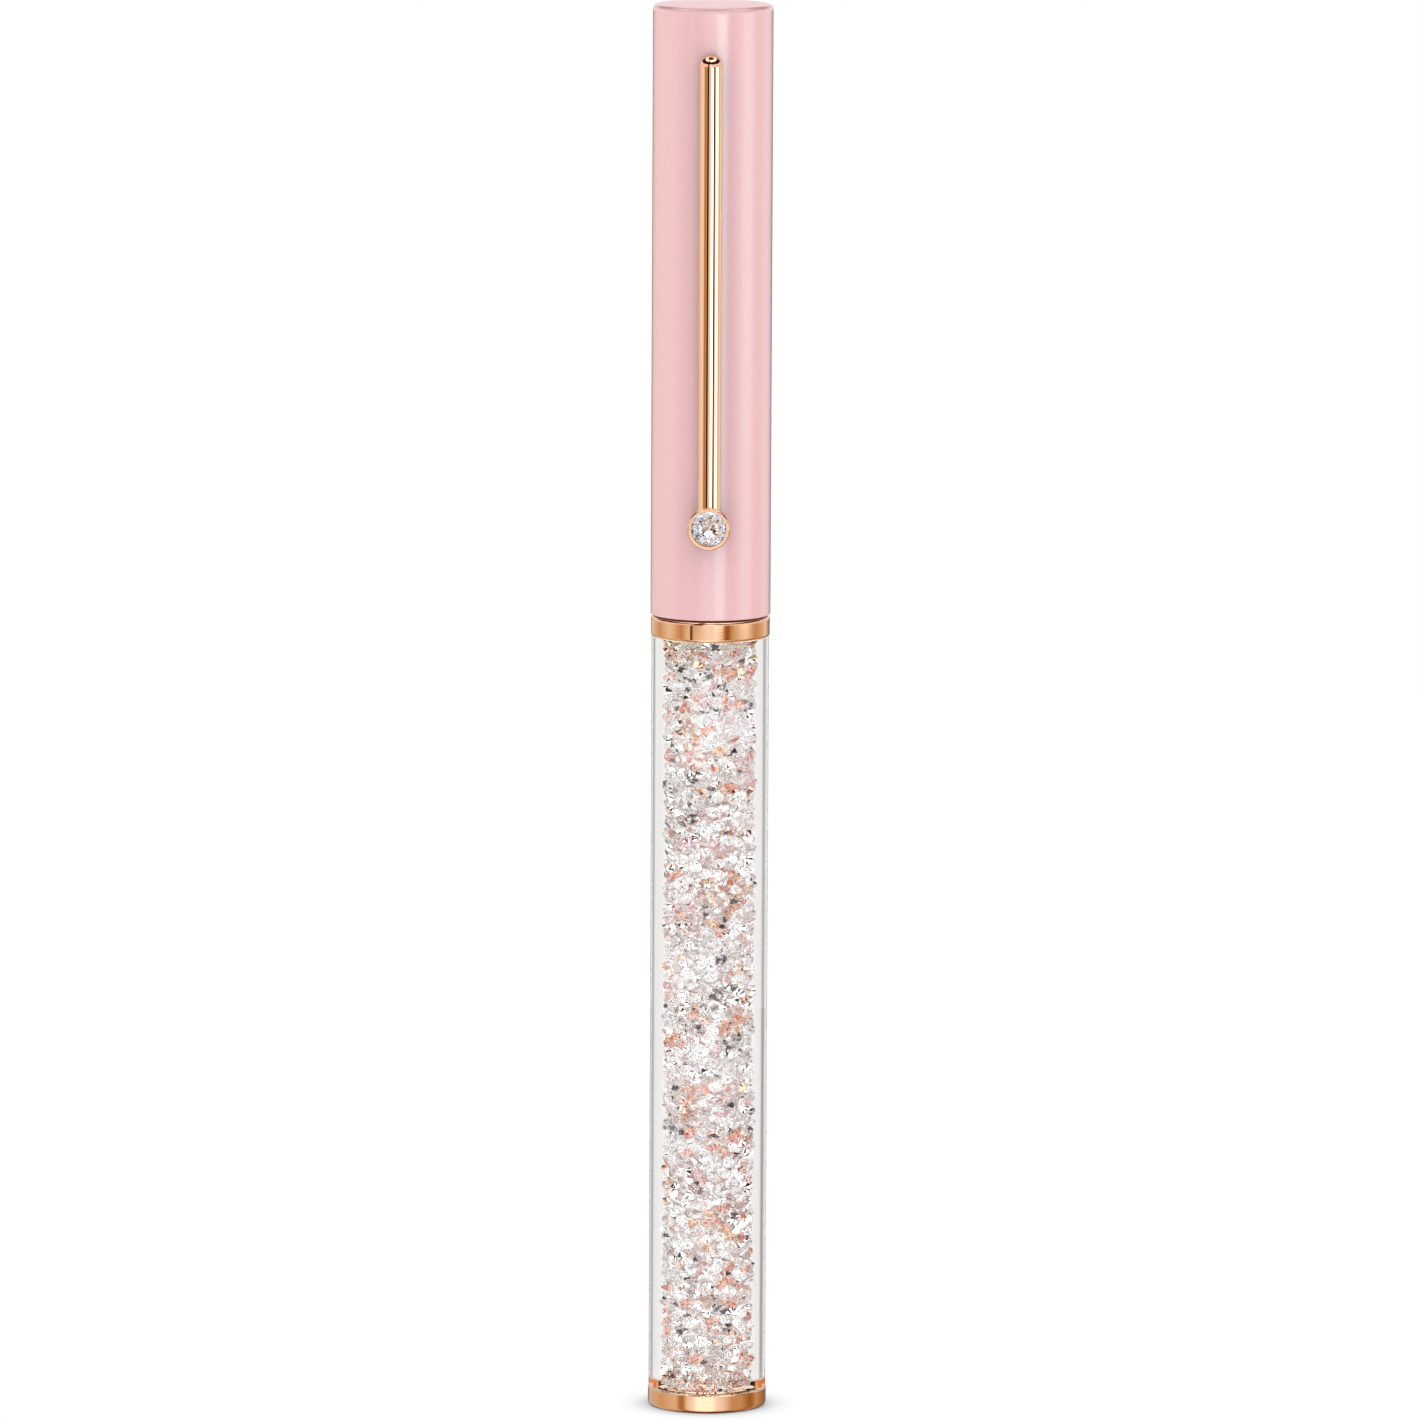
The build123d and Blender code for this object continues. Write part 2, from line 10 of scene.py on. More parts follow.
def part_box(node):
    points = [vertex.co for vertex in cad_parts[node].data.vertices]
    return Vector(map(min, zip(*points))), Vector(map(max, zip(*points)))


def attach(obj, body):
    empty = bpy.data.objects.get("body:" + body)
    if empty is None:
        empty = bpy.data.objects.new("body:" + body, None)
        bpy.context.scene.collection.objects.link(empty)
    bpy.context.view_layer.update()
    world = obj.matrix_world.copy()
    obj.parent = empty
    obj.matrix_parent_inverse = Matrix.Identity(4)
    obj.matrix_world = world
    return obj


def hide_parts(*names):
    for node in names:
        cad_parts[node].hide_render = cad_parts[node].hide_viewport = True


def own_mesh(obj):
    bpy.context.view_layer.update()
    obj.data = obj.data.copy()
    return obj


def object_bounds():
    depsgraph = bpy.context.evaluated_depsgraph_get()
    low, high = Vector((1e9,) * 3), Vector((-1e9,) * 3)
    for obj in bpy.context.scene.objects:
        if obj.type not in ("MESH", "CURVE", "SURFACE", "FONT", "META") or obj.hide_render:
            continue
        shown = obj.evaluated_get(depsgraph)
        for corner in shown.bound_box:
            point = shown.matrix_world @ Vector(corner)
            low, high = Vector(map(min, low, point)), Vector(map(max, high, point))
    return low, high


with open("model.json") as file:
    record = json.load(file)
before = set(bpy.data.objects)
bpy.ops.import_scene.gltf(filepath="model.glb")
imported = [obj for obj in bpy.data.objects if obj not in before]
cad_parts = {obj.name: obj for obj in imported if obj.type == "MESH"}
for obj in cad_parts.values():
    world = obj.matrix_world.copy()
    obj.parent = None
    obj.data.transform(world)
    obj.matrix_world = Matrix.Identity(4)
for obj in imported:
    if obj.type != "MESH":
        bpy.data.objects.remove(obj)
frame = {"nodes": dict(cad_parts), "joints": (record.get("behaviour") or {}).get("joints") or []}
cad_low, cad_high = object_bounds()

MM = 0.001
TURN = 2 * math.pi

# Sizes that only the looks need, in metres.
TUBE_SEGMENTS = 256
NECK_RADIUS = 4.44 * MM  # the tube's turned-down ends, inside the two rings
WALL_GAP = 0.05 * MM  # crystals to the tube's bore
GLUE_GAP = 0.02 * MM  # the socket to the well glued into it

# The spring under the refill.
SPRING_WIRE = 0.22 * MM
SPRING_TURNS = 6
SPRING_STEPS = 24  # in each turn
SPRING_SIDES = 10

# The thread on the socket.
THREAD_RADIUS = 3.41 * MM
THREAD_PITCH = 0.75 * MM
THREAD_DEPTH = 0.30 * MM
THREAD_RELIEF = 0.35 * MM  # plain neck below the thread
THREAD_START = 0.5  # share of that neck that stays uncut
THREAD_LEAD_IN = 0.4 * MM  # bevel at its top
THREAD_ROWS = 14  # rows of points in each turn
THREAD_SEGMENTS = 128
FLANK_SLOPE = 3.4  # how steeply the groove falls from crest to root
FLANK_START = 0.9  # how much of that fall the flat crest takes up

# The loose cut stones in the tube.
STONE_COUNT = 3200
STONE_SIZES = (0.46 * MM, 0.60 * MM)  # smallest and largest girdle radius
STONE_REACH = 0.03 * MM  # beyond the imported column, still clear of the bore
WALL_LAYER = 0.68  # stones beyond this share of the radius lie against the bore
FACING_SHARE = 0.45  # of those, the share that turn their tables to it
FACING_TILT = 0.7  # how far they still lean from it
STONE_SEED = 11
PACKING_STEPS = 90
PAIRING_STEPS = 6  # steps for which the same pairs of neighbours are kept
PAIRING_REACH = 2.3  # how near neighbours are, in largest girdle radii
PACKING_PUSH = 0.7  # share of an overlap that a step clears

# The cut of a stone, in shares of its girdle radius.
TABLE_RADIUS = 0.56
STAR_RADIUS = 0.80
CROWN_HEIGHT = 0.34
STAR_HEIGHT = 0.20
GIRDLE_HALF = 0.03
BREAK_RADIUS = 0.28  # where the lower girdle facets meet the mains
PAVILION_DEPTH = 0.62

# What backs the loose stones: the piece's name, the foil's tint, how many of a stone's eight sectors
# it covers, and the share of the stones.
FOILS = [
    ("crystals_clear", None, 0, 0.33),
    ("crystals_silver", (0.97, 0.97, 0.97), 8, 0.43),
    # Painted shade: near-black foil on two sectors gives dark facets that stand in for stones mirroring
    # dark gaps.
    ("crystals_painted_dark", (0.05, 0.05, 0.06), 2, 0.08),
    ("crystals_rose", (0.88, 0.48, 0.38), 4, 0.08),
    ("crystals_peach", (0.92, 0.62, 0.44), 4, 0.05),
    ("crystals_pink", (0.95, 0.72, 0.76), 5, 0.03),
]
CLIP_STONE_TINT = (0.83, 0.87, 0.92)

LIGHT_BOUNCES = 48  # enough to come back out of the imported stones

# Where the camera stands: metres from the pen's axis and above the floor.
CAMERA_DISTANCE = 1.3
CAMERA_HEIGHT = 0.252
CAMERA_BEARING = math.radians(1.6)
CAMERA_ROLL = math.radians(0.27)
CAMERA_LENS = 343.5
AIM_SHARE = 0.4985  # of the pen's height

# The light tent as metal and lacquer see it, in rings from the floor up. Each ring gives brightness by
# bearing from the front, in degrees, positive to the right.
TENT_FOOT = [
    (-180, 0.20), (-160, 0.20), (-151, 0.60), (-110, 0.71), (-101, 0.65), (-80, 0.75), (-62, 0.79),
    (-53, 0.45), (-46, 0.43), (-37, 0.88), (-25, 1.05), (-18, 1.50), (13, 1.50), (20, 1.05),
    (34, 0.93), (52, 0.60), (73, 0.60), (92, 0.38), (100, 0.38), (115, 0.60), (142, 0.40),
    (155, 0.20), (180, 0.20),
]
TENT_WAIST = [
    (-180, 0.20), (-165, 0.20), (-157, 0.75), (-132, 0.75), (-116, 0.62), (-85, 0.87), (-66, 0.66),
    (-57, 0.55), (-48, 0.75), (-39, 0.90), (-38, 0.20), (-34, 0.20), (-32, 0.75), (-4, 1.0),
    (11, 1.0), (23, 0.78), (29, 0.36), (37, 0.34), (43, 0.60), (64, 0.84), (74, 0.91),
    (100, 0.57), (120, 0.70), (139, 0.88), (152, 0.35), (165, 0.20), (180, 0.20),
]
TENT_CHEST = [
    (-180, 0.02), (-163, 0.02), (-157, 0.35), (-140, 0.75), (-106, 0.95), (-74, 1.0), (-64, 0.70),
    (-54, 0.42), (-44, 0.50), (-36, 0.68), (-32, 0.03), (-19, 0.03), (-13, 0.85), (-5, 0.95),
    (8, 1.15), (12, 4.8), (27, 4.8), (30, 1.1), (34, 0.0), (46, 0.0), (49, 1.1), (58, 1.1),
    (62, 2.8), (81, 2.8), (90, 0.85), (108, 0.75), (116, 1.0), (130, 1.0), (152, 0.40),
    (163, 0.02), (180, 0.02),
]
TENT_HEAD = [
    (-180, 0.92), (-150, 0.92), (-120, 1.0), (-36, 1.0), (-28, 0.30), (-16, 0.30), (-11, 1.0),
    (-8, 1.5), (9, 1.5), (14, 1.0), (150, 0.92), (180, 0.92),
]
RING_TOPS = (-9.3, -7.63, -3.0)  # elevation in degrees where one ring ends and the next begins
WARM_REACH = 150  # the tent's gaps are warm in tone as far round as this bearing
BLUSH = (1.0, 0.75, 0.75)  # the pink card that the cap's top mirrors
# What the rings are multiplied by, from the floor up: elevation in degrees and brightness or colour.
TENT_UP = [
    (-90, 0.25), (-62, 0.30), (-50, 0.95), (2, 1.0), (3, BLUSH), (10, BLUSH), (12, 1.0),
    (18, 1.0), (24, 0.05), (44, 0.05), (50, 1.0), (54, 2.2), (62, 2.2), (66, 1.0), (74, 0.20),
    (90, 0.20),
]
# What the clear parts and the stones in them see, by bearing and then by elevation: white, with
# narrow gaps.
CLEAR_ROUND = [
    (-180, 0.96), (-121, 0.96), (-117, 0.45), (-112, 0.45), (-107, 0.96), (-98, 1.75), (-78, 1.75),
    (-76, 0.0), (-68, 0.0), (-66, 1.75), (-42, 1.75), (-41, 0.0), (-31, 0.0), (-30, 1.75), (-7, 1.75),
    (-6, 0.0), (4, 0.0), (5, 1.75), (30, 1.75), (31, 0.0), (41, 0.0), (42, 1.75), (66, 1.75),
    (68, 0.0), (76, 0.0), (78, 1.75), (98, 1.75), (104, 0.96), (108, 0.48), (113, 0.48),
    (118, 0.96), (180, 0.96),
]
CLEAR_UP = [
    (-90, 0.1), (-78, 0.1), (-74, 1.0), (25, 1.0), (26, 0.0), (33, 0.0), (34, 1.0), (90, 1.0),
]


class Value:
    """A shader socket that takes part in arithmetic: each operation adds a Math node."""

    def __init__(self, shader, socket):
        self.shader = shader
        self.socket = socket

    def math(self, operation, *terms):
        return self.shader.node("Math", {"operation": operation}, dict(enumerate(terms)))

    def __add__(self, other):
        return self.math("ADD", self, other)

    __radd__ = __add__

    def __sub__(self, other):
        return self.math("SUBTRACT", self, other)

    def __rsub__(self, other):
        return self.math("SUBTRACT", other, self)

    def __mul__(self, other):
        return self.math("MULTIPLY", self, other)

    __rmul__ = __mul__

    def __truediv__(self, other):
        return self.math("DIVIDE", self, other)

    def __rtruediv__(self, other):
        return self.math("DIVIDE", other, self)

    def __neg__(self):
        return self.math("MULTIPLY", self, -1.0)

    def __gt__(self, other):
        """1 where this is greater, and 0 elsewhere."""
        return self.math("GREATER_THAN", self, other)

    def larger(self, other):
        return self.math("MAXIMUM", self, other)


class Shader:
    """The node tree of one material or of the world."""

    def __init__(self, owner):
        owner.use_nodes = True
        self.owner = owner
        self.tree = owner.node_tree
        self.tree.nodes.clear()

    def node(self, kind, settings=(), inputs=(), output=0):
        """Adds a node of this type, with its settings first, then the values or links of its sockets."""
        made = self.tree.nodes.new("ShaderNode" + kind)
        for name, setting in dict(settings).items():
            if name == "stops":
                self.set_stops(made.color_ramp.elements, setting)
            else:
                setattr(made, name, setting)
        for name, value in dict(inputs).items():
            if isinstance(value, Value):
                self.tree.links.new(value.socket, made.inputs[name])
            else:
                made.inputs[name].default_value = value
        return Value(self, made.outputs[output]) if made.outputs else made

    @staticmethod
    def set_stops(elements, stops):
        """Gives a ramp its stops, each a place from 0 to 1 and a grey or a colour."""
        while len(elements) < len(stops):
            elements.new(1.0)
        for element, (place, shade) in zip(elements, stops):
            element.position = place
            element.color = shade if isinstance(shade, tuple) else (shade, shade, shade, 1.0)

    def millimetres(self):
        """The point being shaded, in millimetres in the pen's own frame."""
        point = self.node("TexCoord", output="Object")
        return self.node("VectorMath", {"operation": "SCALE"}, {0: point, "Scale": 1 / MM})

    def stretched(self, x, y, z):
        """That point with each axis multiplied, so that a pattern on it is drawn out along one."""
        return self.node("VectorMath", {"operation": "MULTIPLY"}, {0: self.millimetres(), 1: (x, y, z)})

    def from_axis(self):
        """How far that point is from the pen's axis, in millimetres."""
        flat = self.stretched(1.0, 1.0, 0.0)
        return self.node("VectorMath", {"operation": "LENGTH"}, {0: flat}, output="Value")

    def noise(self, point, scale, detail=2.0):
        return self.node("TexNoise", inputs={"Vector": point, "Scale": scale, "Detail": detail})

    def mixed(self, share, first, second):
        """One colour fading into another."""
        return self.node(
            "Mix", {"data_type": "RGBA"}, {"Factor": share, 6: first, 7: second}, output=2
        )

    def ramp(self, place, stops):
        return self.node("ValToRGB", {"stops": stops}, {"Fac": place})

    def bump(self, height, depth, strength=1.0):
        """A normal for a relief of this height times depth, in millimetres."""
        return self.node(
            "Bump", inputs={"Height": height, "Distance": depth * MM, "Strength": strength}
        )

    def surface(self, **sockets):
        """The finished surface: one Principled shader with these sockets."""
        inputs = {name.replace("_", " "): value for name, value in sockets.items()}
        made = self.node("BsdfPrincipled", inputs=inputs)
        self.node("OutputMaterial", inputs={"Surface": made})
        return self.owner


def colour(red, green, blue):
    """A linear colour with full alpha."""
    return (red, green, blue, 1.0)


def new_shader(name):
    return Shader(bpy.data.materials.new(name))


def light_path(shader, kind):
    return shader.node("LightPath", output=kind)


def clear_acrylic():
    """Clear acrylic. Light that comes back from the stones leaves it unbent, so none is trapped."""
    shader = new_shader("clear_acrylic")
    acrylic = shader.node(
        "BsdfPrincipled",
        inputs={
            "Base Color": colour(1.0, 1.0, 1.0), "Roughness": 0.0, "IOR": 1.58,
            "Transmission Weight": 1.0,
        },
    )
    passing = shader.node("BsdfTransparent")
    bounced = light_path(shader, "Is Reflection Ray") * (light_path(shader, "Transmission Depth") > 0.5)
    leaving = bounced.larger(light_path(shader, "Transmission Depth") > 1.5)
    seen = shader.node("MixShader", inputs={0: leaving, 1: acrylic, 2: passing})
    shader.node("OutputMaterial", inputs={"Surface": seen})
    return shader.owner


def clear_filler():
    """Where the stones' clear resin meets the tube: it bends no light, so nothing shows."""
    shader = new_shader("clear_filler")
    passing = shader.node("BsdfTransparent")
    shader.node("OutputMaterial", inputs={"Surface": passing})
    return shader.owner


def clear_plastic():
    shader = new_shader("clear_plastic")
    haze = shader.noise(shader.millimetres(), 3.0)
    return shader.surface(
        Base_Color=colour(0.93, 0.95, 0.95), Roughness=0.08 + 0.10 * haze, IOR=1.5,
        Transmission_Weight=1.0,
    )


def cut_glass(name):
    """Clear cut glass."""
    shader = new_shader(name)
    return shader.surface(
        Base_Color=colour(1.0, 1.0, 1.0), Roughness=0.0, IOR=1.5, Transmission_Weight=1.0
    )


def foil(name, tint):
    """Mirror foil on the back facets of a stone."""
    shader = new_shader(name)
    return shader.surface(Base_Color=colour(*tint), Metallic=1.0, Roughness=0.03)


def frosted_plastic():
    """Natural moulded plastic, which shows milky white."""
    shader = new_shader("frosted_plastic")
    haze = shader.noise(shader.millimetres(), 3.0)
    return shader.surface(
        Base_Color=colour(0.97, 0.95, 0.94), Roughness=0.40 + 0.15 * haze
    )


def rose_gold():
    """Polished plating with the faintest hairlines round it and a slow drift in its tone."""
    shader = new_shader("rose_gold")
    hairlines = shader.noise(shader.stretched(0.6, 0.6, 40.0), 1.0, detail=3.0)
    drift = shader.noise(shader.millimetres(), 0.35)
    plating = shader.mixed(drift, colour(0.96, 0.63, 0.42), colour(0.93, 0.60, 0.40))
    return shader.surface(Base_Color=plating, Metallic=1.0, Roughness=0.01 + 0.02 * hairlines)


def pearl_lacquer():
    """Pink pearl under a clear coat, with fine flakes in the colour, and painted shade on the rounded
    edges: a darker band that stands in for the dark line they reflect.
    """
    shader = new_shader("pink_lacquer")
    flakes = shader.noise(shader.millimetres(), 14.0, detail=4.0)
    pink = shader.mixed(flakes, colour(0.97, 0.49, 0.51), colour(1.0, 0.57, 0.59))
    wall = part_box("cap_shell")[1].x / MM
    # Painted shade: a darker band round the rounded edges, in place of the dark reflection they would
    # show.
    painted_rim_shade = shader.ramp(shader.from_axis() / wall, [(0.925, 0), (0.95, 1), (0.98, 1), (0.993, 0)])
    pink = shader.mixed(painted_rim_shade, pink, colour(0.74, 0.37, 0.38))
    return shader.surface(
        Base_Color=pink, Roughness=0.22 + 0.12 * flakes, IOR=1.9,
        Specular_Tint=colour(0.15, 1.0, 1.0), Normal=shader.bump(flakes, 0.001),
        Coat_Weight=1.0, Coat_Roughness=0.10, Coat_IOR=1.4,
    )


def turned_brass():
    shader = new_shader("turned_brass")
    lines = shader.noise(shader.stretched(0.3, 0.3, 30.0), 1.0, detail=2.0)
    return shader.surface(
        Base_Color=colour(0.80, 0.58, 0.26), Metallic=1.0, Roughness=0.18 + 0.16 * lines,
        Normal=shader.bump(lines, 0.002),
    )


def white_plastic():
    shader = new_shader("white_plastic")
    grain = shader.noise(shader.millimetres(), 9.0)
    shade = shader.mixed(grain, colour(0.80, 0.79, 0.76), colour(0.86, 0.85, 0.83))
    return shader.surface(
        Base_Color=shade, Roughness=0.35 + 0.15 * grain, Normal=shader.bump(grain, 0.004)
    )


def spring_steel():
    shader = new_shader("spring_steel")
    drawn = shader.noise(shader.millimetres(), 22.0)
    return shader.surface(
        Base_Color=colour(0.70, 0.70, 0.70), Metallic=1.0, Roughness=0.16 + 0.16 * drawn
    )


def seal_rubber():
    shader = new_shader("seal_rubber")
    bloom = shader.noise(shader.millimetres(), 12.0)
    shade = shader.mixed(bloom, colour(0.012, 0.012, 0.012), colour(0.03, 0.03, 0.03))
    return shader.surface(
        Base_Color=shade, Roughness=0.45 + 0.2 * bloom, Normal=shader.bump(bloom, 0.003)
    )


def nickel_silver():
    shader = new_shader("nickel_silver")
    lines = shader.noise(shader.stretched(0.4, 0.4, 34.0), 1.0)
    return shader.surface(
        Base_Color=colour(0.76, 0.73, 0.66), Metallic=1.0, Roughness=0.12 + 0.14 * lines,
        Normal=shader.bump(lines, 0.001),
    )


def tungsten_ball():
    shader = new_shader("tungsten_ball")
    pits = shader.noise(shader.millimetres(), 60.0)
    return shader.surface(
        Base_Color=colour(0.42, 0.42, 0.44), Metallic=1.0, Roughness=0.10 + 0.12 * pits
    )


def gel_ink():
    shader = new_shader("gel_ink")
    swirl = shader.noise(shader.stretched(1.0, 1.0, 0.2), 1.6)
    shade = shader.mixed(swirl, colour(0.004, 0.004, 0.006), colour(0.012, 0.011, 0.016))
    return shader.surface(Base_Color=shade, Roughness=0.08)


def follower_grease():
    shader = new_shader("follower_grease")
    streaks = shader.noise(shader.stretched(1.0, 1.0, 0.4), 2.0)
    shade = shader.mixed(streaks, colour(0.80, 0.76, 0.58), colour(0.88, 0.85, 0.72))
    return shader.surface(Base_Color=shade, Roughness=0.2, Transmission_Weight=0.6)


def floor_white():
    """White paper that keeps shadows. Metal and glass see past it to the tent."""
    shader = new_shader("floor_white")
    paper = shader.node("BsdfDiffuse", inputs={"Color": colour(0.96, 0.96, 0.96)})
    glow = shader.node("Emission", inputs={"Strength": 0.08 * light_path(shader, "Is Camera Ray")})
    lit = shader.node("AddShader", inputs={0: paper, 1: glow})
    passing = shader.node("BsdfTransparent")
    past = light_path(shader, "Is Glossy Ray").larger(light_path(shader, "Is Transmission Ray"))
    seen = shader.node("MixShader", inputs={0: past, 1: lit, 2: passing})
    shader.node("OutputMaterial", inputs={"Surface": seen})
    return shader.owner


def warm(brightness):
    """The tent's tone at this brightness: its gaps are lined with brown card."""
    return colour(brightness, min(brightness, brightness ** 1.8), min(brightness, brightness ** 3))


def light_tent():
    """A soft white tent. Mirrors and glass see its panels and the gaps between them."""
    world = bpy.data.worlds.new("light_tent")
    bpy.context.scene.world = world
    shader = Shader(world)
    direction = shader.node("TexCoord", output="Generated")
    x, y, z = (shader.node("SeparateXYZ", inputs={0: direction}, output=axis) for axis in "XYZ")
    bearing = x.math("ARCTAN2", x, -y) / TURN + 0.5
    elevation = z.math("ARCSINE", z)
    height = elevation / math.pi + 0.5

    def around(stops):
        return shader.ramp(bearing, [
            (angle / 360 + 0.5, warm(shade) if abs(angle) < WARM_REACH else shade)
            for angle, shade in stops
        ])

    tent = around(TENT_FOOT)
    for ring_top, stops in zip(RING_TOPS, (TENT_WAIST, TENT_CHEST, TENT_HEAD)):
        tent = shader.mixed(elevation > math.radians(ring_top), tent, around(stops))
    upward = shader.ramp(height, [
        (angle / 180 + 0.5, colour(*shade) if shade == BLUSH else warm(shade))
        for angle, shade in TENT_UP
    ])
    tent = shader.node("VectorMath", {"operation": "MULTIPLY"}, {0: tent, 1: upward})
    clear = shader.ramp(bearing, [(angle / 360 + 0.5, shade) for angle, shade in CLEAR_ROUND])
    clear *= shader.ramp(height, [(angle / 180 + 0.5, shade) for angle, shade in CLEAR_UP])
    mirrored = shader.mixed(light_path(shader, "Is Glossy Ray"), colour(1.0, 1.0, 1.0), tent)
    in_glass = light_path(shader, "Transmission Depth") > 0.5
    background = shader.node(
        "Background", inputs={"Color": shader.mixed(in_glass, mirrored, clear), "Strength": 1.0}
    )
    shader.node("OutputWorld", inputs={"Surface": background})


def make_piece(name, points, faces, materials, smooth_below=0.0):
    """A mesh piece from points in metres. Edges flatter than smooth_below, in degrees, shade smooth."""
    mesh = bpy.data.meshes.new(name)
    mesh.from_pydata(points, [], faces)
    mesh.update()
    for material in materials:
        mesh.materials.append(material)
    if smooth_below:
        mesh.shade_smooth()
        mesh.set_sharp_from_angle(angle=math.radians(smooth_below))
    piece = bpy.data.objects.new(name, mesh)
    bpy.context.scene.collection.objects.link(piece)
    return piece


def turned(name, outline, segments, materials, material_of=None, cut=None):
    """A closed outline of (radius, height) points turned round the pen's axis.

    A cut gives each point a new radius from its radius, height and angle."""
    points, faces, slots = [], [], []
    count = len(outline)
    for step in range(segments):
        angle = TURN * step / segments
        for radius, height in outline:
            if cut:
                radius = cut(radius, height, angle)
            points.append((radius * math.cos(angle), radius * math.sin(angle), height))
    for step in range(segments):
        here, there = step * count, (step + 1) % segments * count
        for side in range(count):
            after = (side + 1) % count
            faces.append((here + side, there + side, there + after, here + after))
            slots.append(material_of(side) if material_of else 0)
    piece = make_piece(name, points, faces, materials, smooth_below=30)
    piece.data.polygons.foreach_set("material_index", slots)
    return piece


def clear_tube():
    """The clear tube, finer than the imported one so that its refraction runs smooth."""
    low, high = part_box("barrel_tube")
    window_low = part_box("end_ring")[1].z
    window_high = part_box("centre_ring")[0].z
    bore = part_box("crystal_fill")[1].x + WALL_GAP
    wall = high.x
    outline = [
        (bore, low.z), (NECK_RADIUS, low.z), (NECK_RADIUS, window_low), (wall, window_low),
        (wall, window_high), (NECK_RADIUS, window_high), (NECK_RADIUS, high.z), (bore, high.z),
    ]
    bore_side = len(outline) - 1
    tube = turned(
        "clear_tube", outline, TUBE_SEGMENTS, [clear_acrylic(), clear_filler()],
        material_of=lambda side: int(side == bore_side),
    )
    tube.visible_shadow = tube.visible_diffuse = False
    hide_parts("barrel_tube")
    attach(tube, "barrel")


def threaded_socket():
    """The brass socket, with its thread cut into the spigot."""
    low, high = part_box("section_socket")
    flange_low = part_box("barrel_tube")[1].z
    flange_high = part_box("centre_ring")[1].z
    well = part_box("refill_well")[1].x + GLUE_GAP
    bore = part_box("end_plug")[1].x
    rows = np.arange(flange_high + THREAD_RELIEF, high.z - THREAD_LEAD_IN, THREAD_PITCH / THREAD_ROWS)
    spigot = [(THREAD_RADIUS, height) for height in (flange_high, *rows, high.z - THREAD_LEAD_IN)]
    outline = [
        (well, low.z), (bore, low.z), (bore, flange_low), (high.x, flange_low), (high.x, flange_high),
        *spigot, (THREAD_RADIUS - THREAD_LEAD_IN, high.z), (well, high.z),
    ]

    def cut(radius, height, angle):
        if radius != THREAD_RADIUS:
            return radius
        turn = (height / THREAD_PITCH - angle / TURN) % 1
        started = min(1, max(0, (height - flange_high) / THREAD_RELIEF - THREAD_START))
        fall = min(1, max(0, FLANK_SLOPE * abs(2 * turn - 1) - FLANK_START))
        return radius - THREAD_DEPTH * started * fall

    socket = turned("threaded_socket", outline, THREAD_SEGMENTS, [turned_brass()], cut=cut)
    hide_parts("section_socket")
    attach(socket, "barrel")


def ring_of(count, radius, height, turn=0.0):
    """Points evenly round the axis at one height, the first turned by this share of a step."""
    angles = [TURN * (step + turn) / count for step in range(count)]
    return [(radius * math.cos(angle), radius * math.sin(angle), height) for angle in angles]


def well_spring():
    """The spring under the refill, with its end turns closed."""
    low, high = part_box("refill_spring")
    coil_radius = high.x - SPRING_WIRE / 2
    span = high.z - low.z - SPRING_WIRE
    turns = [0, 1, SPRING_TURNS - 1, SPRING_TURNS]
    heights = [0, SPRING_WIRE, span - SPRING_WIRE, span]
    points, faces = [], []
    count = SPRING_TURNS * SPRING_STEPS
    for step in range(count + 1):
        turn = step / SPRING_STEPS
        middle = low.z + SPRING_WIRE / 2 + np.interp(turn, turns, heights)
        for out, up, _ in ring_of(SPRING_SIDES, SPRING_WIRE / 2, 0.0):
            radius = coil_radius + out
            points.append((radius * math.cos(TURN * turn), radius * math.sin(TURN * turn), middle + up))
    for step in range(count):
        here, there = step * SPRING_SIDES, (step + 1) * SPRING_SIDES
        for side in range(SPRING_SIDES):
            after = (side + 1) % SPRING_SIDES
            faces.append((here + side, there + side, there + after, here + after))
    faces.append(tuple(range(SPRING_SIDES)))
    faces.append(tuple(count * SPRING_SIDES + side for side in reversed(range(SPRING_SIDES))))
    spring = make_piece("well_spring", points, faces, [spring_steel()], smooth_below=50)
    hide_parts("refill_spring")
    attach(spring, "barrel")
    travel = next(joint["range_m"][1] for joint in frame["joints"] if joint["name"] == "refill_float")
    kept = 1 - travel / (high.z - low.z)
    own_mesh(spring)


def stone_shape():
    """A cut stone with a girdle radius of 1 and its table towards +Z.

    Gives its points, its faces, and the sector of each face: 1 to 8 at the back, and 0 elsewhere."""
    break_share = 1 - BREAK_RADIUS * math.cos(TURN / 16)
    break_height = GIRDLE_HALF + (PAVILION_DEPTH - GIRDLE_HALF) * break_share
    points = ring_of(8, TABLE_RADIUS, CROWN_HEIGHT)
    points += ring_of(8, STAR_RADIUS, STAR_HEIGHT, turn=0.5)
    points += ring_of(16, 1.0, GIRDLE_HALF) + ring_of(16, 1.0, -GIRDLE_HALF)
    points += ring_of(8, BREAK_RADIUS, -break_height, turn=0.5)
    culet = len(points)
    points.append((0.0, 0.0, -PAVILION_DEPTH))
    crown, back = [tuple(range(8))], []
    for step in range(8):
        after = (step + 1) % 8
        star, last_star = 8 + step, 8 + (step - 1) % 8
        upper, upper_beside, upper_after = 16 + 2 * step, 17 + 2 * step, 16 + 2 * after
        lower, lower_beside, lower_after = upper + 16, upper_beside + 16, upper_after + 16
        corner, last_corner = 48 + step, 48 + (step - 1) % 8
        crown.append((step, star, after))
        crown.append((step, last_star, upper, star))
        crown.append((star, upper, upper_beside))
        # This facet takes in the table's corner too, and so doubles half of the one beside it.
        crown.append((star, upper_beside, upper_after, after))
        crown.append((upper, lower, lower_beside, upper_beside))
        crown.append((upper_beside, lower_beside, lower_after, upper_after))
        back.append((lower, last_corner, culet, corner))
        back.append((lower, corner, lower_beside))
        back.append((lower_beside, corner, lower_after))
    sectors = np.concatenate([np.zeros(len(crown)), np.repeat(np.arange(1, 9), 3)])
    return np.array(points), crown + back, sectors


